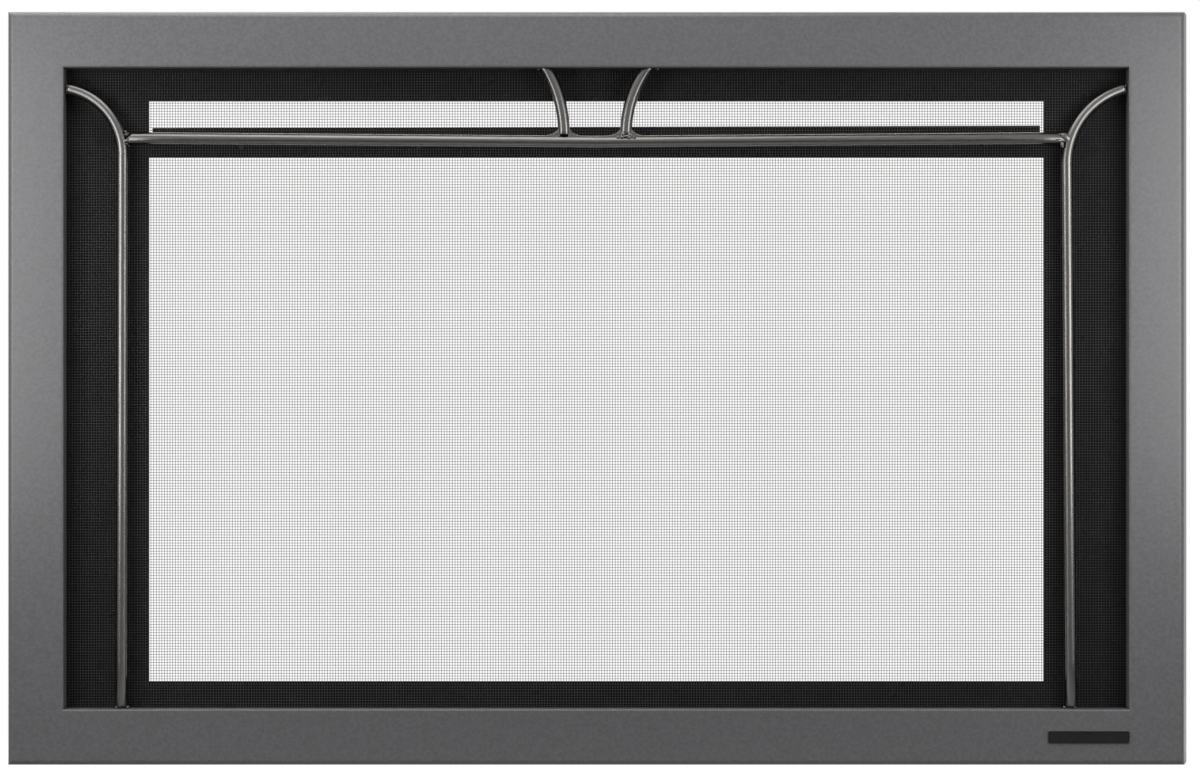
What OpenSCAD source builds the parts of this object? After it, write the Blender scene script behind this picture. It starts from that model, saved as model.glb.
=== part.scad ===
// Fireplace screen front: a folded steel surround, round bars welded into its
// opening, a woven wire barrier behind them and a black panel with two windows.
// Lengths are millimetres. X runs to the right, Y to the rear and Z up.
// The origin lies midway between the two keyholes, in the plane of the rear rim.

/* [Surround] */
// Width of the surround across its face
frame_w = 1095; // [900:5:1300]
// Height of the surround
frame_h = 701; // [600:1:850]
// Depth from the face to the rear rim
frame_d = 38; // [34:1:60]
// Width of the face on all four sides
face_w = 52; // [44:1:80]
// Thickness of the folded sheet
sheet_t = 1.5; // [1.2:0.1:2]
// Outside radius of the bends round the outer edge
outer_bend_r = 5; // [2.5:0.5:6]
// Outside radius of the bends round the opening
inner_bend_r = 2.2; // [2.1:0.1:4]
// Depth of the flange round the opening
inner_d = 25; // [20:0.5:26]
// Width of the lip turned outwards behind the face
lip_w = 13; // [12:0.5:20]
// Width of the open seam at each outer corner
seam_w = 0.8; // [0.5:0.1:2]
// Side of the square relief at each corner of the opening
relief_w = 2.4; // [1.5:0.1:4]
// How far the right flange has sprung open at the rear rim
splay = 6; // [0.5:0.5:10]

/* [Bars] */
// Diameter of the round bar
bar_d = 11.1; // [8:0.1:14]
// Depth of the bars' centre line behind the face
bar_depth = 12.5; // [9:0.5:14]
// Distance from the side of the opening to the left stile, where its arm begins
left_inset = 53.4; // [40:0.1:70]
// Distance from the side of the opening to the right stile, where its arm begins
right_inset = 56.1; // [40:0.1:70]
// Lean of the left stile, in degrees, with its foot nearer the side
left_lean = 0.1; // [0:0.05:0.6]
// Lean of the right stile, in degrees, with its foot nearer the side
right_lean = 0.4; // [0:0.05:0.6]
// Radius of the left arm
left_arm_r = 62.2; // [50:0.1:90]
// Radius of the right arm
right_arm_r = 72.2; // [50:0.1:90]
// Distance from the top of the opening down to the arm tips
arm_drop = 19; // [10:1:40]
// Distance from the top of the opening down to the cross bar's ends
cross_drop = 65; // [55:0.5:80]
// Sag of the cross bar in the middle
cross_sag = 3.4; // [0.5:0.1:8]
// Distance between the centre lines of the branches at their feet
branch_gap = 57.8; // [40:0.2:90]
// Distance of the branches' middle from the centre of the surround
branch_shift = -1.2; // [-10:0.1:10]
// Radius of the left branch
left_branch_r = 124; // [90:1:200]
// Radius of the right branch
right_branch_r = 108; // [90:1:200]
// Gap left at the end of a stile for its weld
foot_gap = 2; // [1:0.1:3]
// Gap left at the tip of an arm for its weld
tip_gap = 3; // [2:0.1:4]
// Gap between coped bars, and above a branch
joint_gap = 0.3; // [0.1:0.05:0.6]

/* [Weld beads] */
// Size of a corner weld bead
corner_bead = 4.6; // [3.5:0.1:6]
// Height of the weld fillets at the foot of a branch
fillet_h = 9; // [6:0.5:12]
// Thickness of those fillets
fillet_t = 7; // [4:0.5:8]
// Gap between a branch's straight foot and its fillets, which leaves room for its curve
fillet_gap = 0.5; // [0.45:0.05:0.8]
// Radius of a tack weld
tack_r = 2.2; // [1.8:0.1:3]
// Clearance that stands for the fused line between a bead and its bar
bead_fit = 0.05; // [0.02:0.01:0.1]

/* [Wire barrier] */
// Distance from wire to wire of the woven cloth
wire_pitch = 2.54; // [1.5:0.01:6]
// Diameter of the wire
wire_d = 0.42; // [0.25:0.01:0.6]
// Number of upright wires in the cloth for each one that is drawn
upright_count = 17; // [15:1:30]
// Number of level wires in the cloth for each one that is drawn
level_count = 20; // [18:1:30]
// How far crossing wires press into each other
wire_bite = 0.05; // [0.02:0.01:0.1]
// Gap between the ends of the wires and the panel screws
wire_gap = 0.5; // [0.3:0.1:1]

/* [Clamp strips] */
// Thickness of the flat strips that clamp the wire cloth
strip_t = 2; // [1.5:0.1:4]
// Gap between the ends of neighbouring strips
strip_gap = 0.5; // [0.3:0.1:1]

/* [Rear panel] */
// Thickness of the panel
panel_t = 1.2; // [0.8:0.1:2]
// Width of the panel's side bands inside the opening
side_band = 77; // [50:0.5:110]
// Height of the panel's top band inside the opening
top_band = 30; // [22:0.5:45]
// Height of the panel's bottom band inside the opening
bottom_band = 24.4; // [22:0.2:45]
// Height of the upper window
slot_h = 31; // [28:0.5:60]
// Height of the rail between the windows
rail_h = 21.8; // [16:0.2:40]

/* [Air deflector] */
// Thickness of the deflector angle
defl_t = 1.2; // [0.8:0.1:1.6]
// Height of its upright leg
defl_h = 25.4; // [20:0.2:40]
// Depth of its level leg
defl_leg = 8; // [6:0.5:9]
// Outside radius of its bend
defl_bend_r = 2; // [1.7:0.1:4]
// How far the deflector rises above the rail
defl_rise = 7.4; // [4:0.1:12]
// Distance from each end of the deflector to the side of the window
defl_end_gap = 3; // [1:0.5:10]
// Tilt of the deflector, in degrees
defl_tilt = 0.15; // [0:0.01:0.25]
// Number of its rivets
defl_rivets = 5; // [3:1:9]

/* [Fasteners] */
// Diameter of a panel screw
screw_d = 4.2; // [3.5:0.1:5]
// Length of a panel screw under its head
screw_l = 9.5; // [8:0.5:12]
// Diameter of its head
screw_head_d = 8; // [6.5:0.1:9]
// Height of its head
screw_head_h = 2.6; // [1.5:0.1:2.8]
// Distance from the corners of the opening to the nearest panel screws
screw_end = 42; // [20:1:60]
// Gap between a hanger and the heads of the panel screws beside it
screw_gap = 20; // [4:1:40]
// Number of panel screws down each side
side_screws = 4; // [2:1:6]
// Clearance round a screw or rivet in the panel and the strips
hole_play = 0.25; // [0.1:0.05:0.4]
// Clearance round a screw in the lip that it is driven into
thread_play = 0.05; // [0.02:0.01:0.1]
// Diameter of a rivet
rivet_d = 3.2; // [2.4:0.1:4]
// Diameter of a rivet's head
rivet_head_d = 6.4; // [5:0.1:8]
// Height of a rivet's head
rivet_head_h = 1; // [0.6:0.1:1.4]

/* [Hangers] */
// Height of the keyholes above the lower edge of the surround
hang_h = 674; // [560:1:830]
// Distance between the keyholes
hang_span = 560; // [400:5:800]
// Thickness of a hanger
hanger_t = 2; // [1.5:0.1:3]
// Width of a hanger
hanger_w = 36; // [30:1:60]
// Outside radius of its bends
hanger_bend_r = 3; // [3:0.1:4]
// Diameter of the round end of a keyhole
keyhole_d = 11; // [8:0.5:14]
// Width of its narrow end
keyhole_w = 6; // [4:0.2:7]
// Rise from the round end to the narrow end
keyhole_rise = 9; // [7:0.5:12]
// Distance between the two rivets of a hanger
hanger_rivet_gap = 18; // [12:1:24]

/* [Magnets] */
// Diameter of a pot magnet
magnet_d = 25; // [16:1:32]
// Distance between the magnets
magnet_span = 560; // [300:5:800]
// Diameter of a magnet's screw
magnet_screw_d = 4; // [3:0.1:5]
// Diameter of that screw's countersunk head
magnet_head_d = 8; // [6:0.1:9]

/* [Name plate] */
// Length of the blank plate
plate_l = 75.4; // [40:0.2:120]
// Height of the blank plate
plate_h = 11.2; // [8:0.2:20]
// Thickness of the blank plate
plate_t = 1.2; // [0.6:0.1:2.5]
// Radius of its corners
plate_r = 1.4; // [0.5:0.1:3]
// Distance from the plate to the right edge of the surround
plate_side = 51.5; // [20:0.5:120]
// Thickness of the adhesive film behind it
film_t = 0.5; // [0.3:0.1:1]
// Margin of the plate round its film
film_margin = 1; // [0.5:0.1:2]

/* [Hidden] */
$fn = 64;
// Length by which a cutting body passes the faces that it cuts
over = 1;

open_w = frame_w - 2 * face_w;
open_h = frame_h - 2 * face_w;
open_top = frame_h - face_w;
bar_r = bar_d / 2;

// Depths behind the face of the layers clamped behind the opening
mesh_t = 2 * wire_d - wire_bite;
strip_front = inner_d + mesh_t;
panel_front = strip_front + strip_t;
panel_rear = panel_front + panel_t;
strip_w = lip_w - inner_bend_r;
clamp_line = inner_bend_r + strip_w / 2;

// Heights above the lower edge of the surround
slot_top = open_top - top_band;
rail_top = slot_top - slot_h;
rail_bottom = rail_top - rail_h;
window_bottom = face_w + bottom_band;
window_w = open_w - 2 * side_band;
cross_h = open_top - cross_drop;
crest_h = cross_h - cross_sag + bar_r;
arm_tip_h = open_top - arm_drop;

// Stiles: distances of the centre line from the middle, and the height where its arm begins
left_top_x = open_w / 2 - left_inset;
right_top_x = open_w / 2 - right_inset;
left_sweep = arm_sweep(left_inset, left_arm_r, left_lean);
right_sweep = arm_sweep(right_inset, right_arm_r, right_lean);
left_bend_h = arm_tip_h - left_arm_r * (sin(left_sweep) + sin(left_lean));
right_bend_h = arm_tip_h - right_arm_r * (sin(right_sweep) + sin(right_lean));
left_foot_x = left_top_x + leg_h(left_bend_h) * tan(left_lean);
right_foot_x = right_top_x + leg_h(right_bend_h) * tan(right_lean);

// Wires that are drawn, counted from the middle
upright_gap = wire_pitch * upright_count;
level_gap = wire_pitch * level_count;
upright_n = floor((open_w / 2 - wire_d) / upright_gap);
level_n = floor((open_h / 2 - wire_d) / level_gap);
wire_lap = clamp_line - screw_d / 2 - hole_play - wire_gap;

// Panel screws along the top and the bottom: in the middle, beside each hanger and near the corners
beside_hanger = hang_span / 2 - hanger_w / 2 - screw_gap - screw_head_d / 2;
screw_x = [-open_w / 2 + screw_end, -beside_hanger, 0, beside_hanger, open_w / 2 - screw_end];
screw_pitch = (open_h - 2 * screw_end) / (side_screws - 1);

defl_l = window_w - 2 * defl_end_gap;
defl_rivet_h = (rail_top + rail_bottom) / 2;
magnet_h = (window_bottom + face_w - clamp_line + screw_head_d / 2) / 2;

// Slope that an arm has reached at its tip, starting from an inset and a leaning leg
function arm_sweep(inset, r, lean) = acos(cos(lean) - (inset - tip_gap) / r);
// Distance of an arm's centre line from the middle, at a height h above where it begins
function arm_x(top_x, r, h) = top_x + r - sqrt(r * r - h * h);
// Height of a stile's straight leg
function leg_h(bend_h) = bend_h - face_w - foot_gap;
// A depth behind the face and a height above the lower edge, in the part's own axes
function deep(d) = d - frame_d;
function up(h) = h - hang_h;

// A block between two depths, centred on x and on a height
module slab(w, h, d0, d1, x, mid_h) {
    translate([x - w / 2, deep(d0), up(mid_h - h / 2)]) cube([w, d1 - d0, h]);
}

// A cylinder along the depth
module pin(d, d0, d1, x, h) {
    translate([x, deep(d0), up(h)]) rotate([-90, 0, 0]) cylinder(h = d1 - d0, d = d);
}

// A cone along the depth
module cone(da, db, d0, d1, x, h) {
    translate([x, deep(d0), up(h)]) rotate([-90, 0, 0]) cylinder(h = d1 - d0, d1 = da, d2 = db);
}

// A ball centred at x, a depth and a height
module ball(r, x, d, h) {
    translate([x, deep(d), up(h)]) sphere(r = r);
}

// Everything beyond a side of the opening: 0 is the floor, 1 the left side, 2 the top, 3 the right side
module beyond_opening(side, gap) {
    reach = 20;
    if (side == 0) slab(open_w, reach, 0, inner_d, 0, face_w + gap - reach / 2);
    if (side == 1) slab(reach, open_h, 0, inner_d, -open_w / 2 + gap - reach / 2, frame_h / 2);
    if (side == 2) slab(open_w, reach, 0, inner_d, 0, open_top - gap + reach / 2);
    if (side == 3) slab(reach, open_h, 0, inner_d, open_w / 2 - gap + reach / 2, frame_h / 2);
}

// Turns a section drawn as across and depth into an upright or a level prism
module upright_prism(h) {
    translate([0, deep(0), up(frame_h / 2)]) linear_extrude(height = h, center = true) children();
}
module level_prism(w) {
    translate([0, deep(0), up(frame_h / 2)]) rotate([0, -90, 0])
        linear_extrude(height = w, center = true) children();
}

// Section of the tray inside or outside its sheet: r is the bend radius on that side
module tray_section(half, r, depth, lean) {
    c = half - outer_bend_r;
    turn = [c + r * cos(lean), outer_bend_r - r * sin(lean)];
    polygon([
        [-c - r, depth], [-c - r, outer_bend_r], [-c, outer_bend_r - r],
        [c, outer_bend_r - r], turn, [turn[0] + (depth - turn[1]) * tan(lean), depth]
    ]);
    for (s = [-1, 1]) translate([s * c, outer_bend_r]) circle(r = r);
}

splay_angle = atan(splay / (frame_d - outer_bend_r));

module tray(r, depth) {
    intersection() {
        upright_prism(frame_h + 2 * over) tray_section(frame_w / 2, r, depth, splay_angle);
        level_prism(frame_w + 4 * splay + 2 * over) tray_section(frame_h / 2, r, depth, 0);
    }
}

// Section of the opening, flared round the bends at the face and at the lip
module well_section(half, r, depth) {
    c = half + inner_bend_r;
    difference() {
        translate([-c, -over]) square([2 * c, depth + over]);
        for (s = [-1, 1]) {
            translate([s * c, inner_bend_r]) circle(r = r);
            translate([s * c, inner_d - inner_bend_r]) circle(r = r);
            translate([s * c - r, inner_bend_r]) square([2 * r, inner_d - 2 * inner_bend_r]);
        }
    }
}

module well(r, depth) {
    intersection() {
        upright_prism(frame_h) well_section(open_w / 2, r, depth);
        level_prism(frame_w) well_section(open_h / 2, r, depth);
    }
}

// Ends of the top and bottom flanges, cut back to leave the corner seams open
module corner_seams() {
    edge = frame_w / 2 - sheet_t - seam_w;
    difference() {
        upright_prism(frame_h + 2 * over)
            tray_section(frame_w / 2, outer_bend_r - sheet_t, frame_d + over, splay_angle);
        slab(2 * edge, frame_h + 4 * over, -over, frame_d + 2 * over, 0, frame_h / 2);
        slab(frame_w + 4 * splay, frame_h + 4 * over, -over, outer_bend_r, 0, frame_h / 2);
        slab(frame_w + 4 * splay, frame_h - 4 * outer_bend_r, -over, frame_d + 2 * over, 0, frame_h / 2);
    }
}

module corner_reliefs() {
    for (sx = [-1, 1], h = [face_w, open_top])
        slab(relief_w, relief_w, inner_bend_r, inner_d - inner_bend_r, sx * open_w / 2, h);
}

// Puts its children at the middle of each panel screw
module each_screw() {
    for (x = screw_x, s = [-1, 1])
        translate([x, 0, s * (open_h / 2 + clamp_line)]) children();
    for (i = [0:side_screws - 1], s = [-1, 1])
        translate([s * (open_w / 2 + clamp_line), 0, screw_end - open_h / 2 + i * screw_pitch])
            children();
}

module screw_holes(play) {
    each_screw() pin(screw_d + 2 * play, inner_d - sheet_t - over, panel_rear + over, 0, frame_h / 2);
}

module each_hanger_rivet() {
    for (sx = [-1, 1], s = [-1, 1])
        translate([sx * hang_span / 2 + s * hanger_rivet_gap / 2, 0, 0]) children();
}

module hanger_rivet_holes() {
    each_hanger_rivet()
        pin(rivet_d + 2 * hole_play, inner_d - sheet_t - over, panel_rear + hanger_t + over,
            0, open_top + clamp_line);
}

module face_frame() {
    color("dimgray") difference() {
        union() {
            difference() {
                tray(outer_bend_r, frame_d);
                tray(outer_bend_r - sheet_t, frame_d + over);
            }
            intersection() {
                well(inner_bend_r - sheet_t, inner_d);
                slab(frame_w, frame_h, 0, inner_d, 0, frame_h / 2);
            }
            slab(open_w + 2 * lip_w, open_h + 2 * lip_w, inner_d - sheet_t, inner_d, 0, frame_h / 2);
        }
        well(inner_bend_r, frame_d + over);
        corner_seams();
        corner_reliefs();
        screw_holes(thread_play);
        hanger_rivet_holes();
    }
}

// A left stile with its arm, from the foot to the tip, of the given thickness
module stile(top_x, arm_r, sweep, lean, bend_h, d) {
    translate([-top_x, deep(bar_depth), up(bend_h)]) rotate([0, lean, 0]) {
        translate([0, 0, -leg_h(bend_h) / cos(lean)])
            cylinder(h = leg_h(bend_h) / cos(lean), d = d);
        translate([-arm_r, 0, 0]) rotate([90, 0, 0])
            rotate_extrude(angle = sweep + lean, $fn = 128)
            translate([arm_r, 0]) circle(d = d, $fn = 48);
    }
}

module left_stile(d) {
    stile(left_top_x, left_arm_r, left_sweep, left_lean, left_bend_h, d);
}

module right_stile(d) {
    mirror([1, 0, 0])
        stile(right_top_x, right_arm_r, right_sweep, right_lean, right_bend_h, d);
}

module left_stile_bar() {
    color("slategray") left_stile(bar_d);
}

module right_stile_bar() {
    color("slategray") right_stile(bar_d);
}

// The cross bar before its ends are coped, with a slight kink in the middle
module cross_run(d) {
    half = open_w / 2 - left_inset;
    fall = atan(cross_sag / half);
    for (side = [0, 1]) mirror([side, 0, 0]) difference() {
        translate([0, deep(bar_depth), up(cross_h - cross_sag)]) rotate([0, 90 - fall, 0])
            translate([0, 0, -d]) cylinder(h = half / cos(fall) + d, d = d);
        translate([-2 * d, deep(0), up(cross_h - cross_sag - d)]) cube([2 * d, 2 * inner_d, 2 * d]);
    }
}

// Slanting cut across the top of a cross bar's end
module end_cut(x) {
    translate([x, deep(0), up(cross_h)]) rotate([0, 45, 0])
        translate([-2 * bar_d, 0, -bar_d]) cube([2 * bar_d, inner_d, 4 * bar_d]);
}

module cross_bar() {
    color("slategray") difference() {
        cross_run(bar_d);
        left_stile(bar_d + 2 * joint_gap);
        right_stile(bar_d + 2 * joint_gap);
        end_cut(bar_r - left_top_x);
        mirror([1, 0, 0]) end_cut(bar_r - right_top_x);
    }
}

// A branch that rises from the cross bar and curves to the left
module branch(foot, r, d) {
    rise = open_top - crest_h - joint_gap;
    sweep = asin((rise + bar_d) / r);
    intersection() {
        translate([foot - r, deep(bar_depth), up(crest_h + joint_gap)]) rotate([90, 0, 0])
            rotate_extrude(angle = sweep, $fn = 128) translate([r, 0]) circle(d = d, $fn = 48);
        slab(r, rise - joint_gap, 0, inner_d, foot, crest_h + joint_gap + (rise - joint_gap) / 2);
    }
}

module left_branch(d) {
    branch(branch_shift - branch_gap / 2, left_branch_r, d);
}

module right_branch(d) {
    mirror([1, 0, 0]) branch(-branch_shift - branch_gap / 2, right_branch_r, d);
}

module left_branch_bar() {
    color("slategray") left_branch(bar_d);
}

module right_branch_bar() {
    color("slategray") right_branch(bar_d);
}

// Beads where the cross bar meets a left stile, one above and one below its middle
module corner_beads(top_x, arm_r, bend_h) {
    x = bar_r - arm_x(top_x, arm_r, cross_h - bend_h);
    ball(corner_bead, x + bar_r / 3, bar_depth - bar_r / 3, cross_h + corner_bead * 0.5);
    ball(corner_bead * 0.7, x + bar_r / 2, bar_depth - bar_r / 4, cross_h - bar_r);
}

module left_corner_weld() {
    color("gray") difference() {
        corner_beads(left_top_x, left_arm_r, left_bend_h);
        left_stile(bar_d + 2 * bead_fit);
        cross_run(bar_d + 2 * bead_fit);
    }
}

module right_corner_weld() {
    color("gray") difference() {
        mirror([1, 0, 0]) corner_beads(right_top_x, right_arm_r, right_bend_h);
        right_stile(bar_d + 2 * bead_fit);
        cross_run(bar_d + 2 * bead_fit);
    }
}

// Hollow fillets round the foot of a branch, clear of its curve
module branch_fillets(foot) {
    rim = bar_r + fillet_gap;
    base_h = crest_h - bar_r;
    difference() {
        intersection() {
            translate([foot, deep(bar_depth), up(base_h)]) rotate_extrude() difference() {
                translate([rim, 0]) square([fillet_h, fillet_h + bar_r]);
                translate([rim + fillet_h, fillet_h + bar_r]) circle(r = fillet_h * 0.9);
            }
            for (s = [-1, 1])
                slab(2 * fillet_h, 4 * bar_d, bar_depth - fillet_t / 2, bar_depth + fillet_t / 2,
                     foot + s * (bar_r * 0.8 + fillet_h), crest_h);
        }
        cross_run(bar_d + 2 * bead_fit);
    }
}

module left_branch_weld() {
    color("gray") branch_fillets(branch_shift - branch_gap / 2);
}

module right_branch_weld() {
    color("gray") branch_fillets(branch_shift + branch_gap / 2);
}

module stile_foot_tacks() {
    color("gray") difference() {
        for (x = [-left_foot_x, right_foot_x], s = [-1, 1])
            ball(tack_r, x + s * bar_r * 0.9, bar_depth, face_w + foot_gap * 0.7);
        left_stile(bar_d + 2 * bead_fit);
        right_stile(bar_d + 2 * bead_fit);
        beyond_opening(0, bead_fit);
    }
}

module arm_tip_welds() {
    color("gray") difference() {
        for (side = [0, 1]) mirror([side, 0, 0])
            translate([open_w / 2 - bead_fit, deep(bar_depth + bar_r / 2), up(arm_tip_h)])
                rotate([0, -90, 0]) cylinder(h = 2 * tip_gap, r1 = tip_gap * 1.3, r2 = tip_gap * 0.8);
        left_stile(bar_d + 2 * bead_fit);
        right_stile(bar_d + 2 * bead_fit);
    }
}

// Distance that a branch has curved sideways where it meets the top of the opening
function branch_run(r) = r - sqrt(r * r - pow(open_top - crest_h, 2));

module branch_tip_tacks() {
    left_x = branch_shift - branch_gap / 2 - branch_run(left_branch_r);
    right_x = branch_shift + branch_gap / 2 + branch_run(right_branch_r);
    color("gray") difference() {
        for (x = [left_x, right_x], s = [-1, 1])
            ball(tack_r, x + s * bar_r, bar_depth, open_top - tack_r / 2);
        left_branch(bar_d + 2 * bead_fit);
        right_branch(bar_d + 2 * bead_fit);
        beyond_opening(2, bead_fit);
    }
}

// Only some wires of the cloth are drawn, at their true thickness
module mesh_screen() {
    color("black") {
        for (i = [-upright_n:upright_n])
            slab(wire_d, open_h + 2 * wire_lap, inner_d, inner_d + wire_d, i * upright_gap, frame_h / 2);
        for (i = [-level_n:level_n])
            slab(open_w + 2 * wire_lap, wire_d, strip_front - wire_d, strip_front,
                 0, frame_h / 2 + i * level_gap);
    }
}

// A strip that clamps the cloth along the top (1) or the bottom (-1)
module level_strip(s) {
    difference() {
        slab(open_w + 2 * lip_w, strip_w, strip_front, panel_front,
             0, frame_h / 2 + s * (open_h / 2 + clamp_line));
        screw_holes(hole_play);
        hanger_rivet_holes();
    }
}

// A strip that clamps the cloth along the right (1) or the left (-1)
module upright_strip(s) {
    difference() {
        slab(strip_w, open_h + 2 * (inner_bend_r - strip_gap), strip_front, panel_front,
             s * (open_w / 2 + clamp_line), frame_h / 2);
        screw_holes(hole_play);
    }
}

module top_clamp_strip() {
    color("darkgray") level_strip(1);
}

module bottom_clamp_strip() {
    color("darkgray") level_strip(-1);
}

module left_clamp_strip() {
    color("darkgray") upright_strip(-1);
}

module right_clamp_strip() {
    color("darkgray") upright_strip(1);
}

// Puts its children at each rivet of the deflector, tilted with it
module each_deflector_rivet() {
    pitch = defl_l / defl_rivets;
    translate([0, 0, up(defl_rivet_h)]) rotate([0, -defl_tilt, 0])
        for (i = [0:defl_rivets - 1])
            translate([(i - (defl_rivets - 1) / 2) * pitch, 0, 0]) children();
}

module deflector_rivet_holes() {
    each_deflector_rivet()
        translate([0, deep(panel_front - over), 0]) rotate([-90, 0, 0])
            cylinder(h = panel_t + defl_t + 2 * over, d = rivet_d + 2 * hole_play);
}

module back_panel() {
    color("black") difference() {
        slab(open_w + 2 * lip_w, open_h + 2 * lip_w, panel_front, panel_rear, 0, frame_h / 2);
        slab(window_w, slot_h, panel_front - over, panel_rear + over, 0, slot_top - slot_h / 2);
        slab(window_w, rail_bottom - window_bottom, panel_front - over, panel_rear + over,
             0, (rail_bottom + window_bottom) / 2);
        screw_holes(hole_play);
        hanger_rivet_holes();
        deflector_rivet_holes();
        for (s = [-1, 1])
            pin(magnet_screw_d + 2 * thread_play, panel_front - over, panel_rear + over,
                s * magnet_span / 2, magnet_h);
    }
}

module panel_screws() {
    crown = screw_head_h / 2;
    color("black") each_screw() {
        pin(screw_d, panel_rear - screw_l, panel_rear, 0, frame_h / 2);
        pin(screw_head_d, panel_rear, panel_rear + crown, 0, frame_h / 2);
        cone(screw_head_d, screw_head_d * 0.7, panel_rear + crown, panel_rear + screw_head_h,
             0, frame_h / 2);
    }
}

// Section of a folded angle: the legs start at the outside of the bend
module angle_section(leg_a, leg_b, t, r) {
    translate([r, 0]) square([leg_a - r, t]);
    translate([0, r]) square([t, leg_b - r]);
    difference() {
        intersection() {
            translate([r, r]) circle(r = r);
            square([r, r]);
        }
        translate([r, r]) circle(r = r - t);
    }
}

module air_deflector() {
    top = rail_top + defl_rise - defl_rivet_h;
    color("black") difference() {
        translate([0, deep(panel_rear), up(defl_rivet_h)]) rotate([0, -defl_tilt, 0])
            translate([0, 0, top]) rotate([0, 90, 0])
            linear_extrude(height = defl_l, center = true)
            angle_section(defl_h, defl_leg, defl_t, defl_bend_r);
        deflector_rivet_holes();
    }
}

// A rivet along the depth, through a stack of the given thickness
module rivet(grip) {
    tail = rivet_head_h * 0.8;
    rotate([-90, 0, 0]) {
        translate([0, 0, -tail]) cylinder(h = tail, d1 = rivet_head_d * 0.6, d2 = rivet_head_d * 0.8);
        cylinder(h = grip, d = rivet_d);
        translate([0, 0, grip])
            cylinder(h = rivet_head_h, d1 = rivet_head_d, d2 = rivet_head_d * 0.6);
    }
}

module deflector_rivets() {
    color("black") each_deflector_rivet() translate([0, deep(panel_front), 0]) rivet(panel_t + defl_t);
}

// Section of a hanger as height and depth: base leg, step and hanging leg
module hanger_section() {
    step = frame_d - panel_rear;
    base = 2 * (lip_w - clamp_line);
    rise = 2 * hanger_bend_r + keyhole_d + keyhole_rise + keyhole_w;
    translate([hanger_t, 0]) mirror([1, 0])
        angle_section(base + hanger_t, step / 2, hanger_t, hanger_bend_r);
    translate([0, step]) mirror([0, 1]) angle_section(rise, step / 2, hanger_t, hanger_bend_r);
}

// A hanger on the right of the middle
module hanger() {
    foot = open_top + lip_w;
    difference() {
        translate([hang_span / 2, deep(panel_rear), up(foot)]) rotate([0, -90, 0])
            linear_extrude(height = hanger_w, center = true) hanger_section();
        pin(keyhole_d, panel_rear, frame_d + over, hang_span / 2, hang_h);
        slab(keyhole_w, keyhole_rise, panel_rear, frame_d + over,
             hang_span / 2, hang_h + keyhole_rise / 2);
        pin(keyhole_w, panel_rear, frame_d + over, hang_span / 2, hang_h + keyhole_rise);
        hanger_rivet_holes();
    }
}

module left_hanger() {
    color("silver") mirror([1, 0, 0]) hanger();
}

module right_hanger() {
    color("silver") hanger();
}

module hanger_rivets() {
    front = inner_d - sheet_t;
    color("silver") each_hanger_rivet()
        translate([0, deep(front), up(open_top + clamp_line)]) rivet(panel_rear + hanger_t - front);
}

module magnet(s) {
    head_l = (magnet_head_d - magnet_screw_d) / 2;
    difference() {
        pin(magnet_d, panel_rear, frame_d, s * magnet_span / 2, magnet_h);
        pin(magnet_screw_d + 2 * hole_play, panel_rear - over, frame_d + over,
            s * magnet_span / 2, magnet_h);
        cone(magnet_screw_d, magnet_head_d + 2 * hole_play, frame_d - head_l - hole_play, frame_d,
             s * magnet_span / 2, magnet_h);
    }
}

module left_magnet() {
    color("silver") magnet(-1);
}

module right_magnet() {
    color("silver") magnet(1);
}

module magnet_screws() {
    head_l = (magnet_head_d - magnet_screw_d) / 2;
    color("silver") for (s = [-1, 1]) {
        pin(magnet_screw_d, panel_front, frame_d - head_l, s * magnet_span / 2, magnet_h);
        cone(magnet_screw_d, magnet_head_d, frame_d - head_l, frame_d, s * magnet_span / 2, magnet_h);
    }
}

// A plate with round corners between two depths, in the middle of the lower face
module rounded_plate(l, h, r, d0, d1) {
    x = frame_w / 2 - plate_side - plate_l / 2;
    slab(l - 2 * r, h, d0, d1, x, face_w / 2);
    slab(l, h - 2 * r, d0, d1, x, face_w / 2);
    for (sx = [-1, 1], sh = [-1, 1])
        pin(2 * r, d0, d1, x + sx * (l / 2 - r), face_w / 2 + sh * (h / 2 - r));
}

module name_plate() {
    color("black") rounded_plate(plate_l, plate_h, plate_r, -film_t - plate_t, -film_t);
}

module name_plate_adhesive() {
    color("dimgray")
        rounded_plate(plate_l - 2 * film_margin, plate_h - 2 * film_margin, plate_r, -film_t, 0);
}

face_frame();
left_stile_bar();
right_stile_bar();
cross_bar();
left_branch_bar();
right_branch_bar();
left_corner_weld();
right_corner_weld();
left_branch_weld();
right_branch_weld();
stile_foot_tacks();
arm_tip_welds();
branch_tip_tacks();
mesh_screen();
top_clamp_strip();
bottom_clamp_strip();
left_clamp_strip();
right_clamp_strip();
back_panel();
panel_screws();
air_deflector();
deflector_rivets();
left_hanger();
right_hanger();
hanger_rivets();
left_magnet();
right_magnet();
magnet_screws();
name_plate();
name_plate_adhesive();
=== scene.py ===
import math

import bpy
from mathutils import Matrix, Vector


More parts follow.
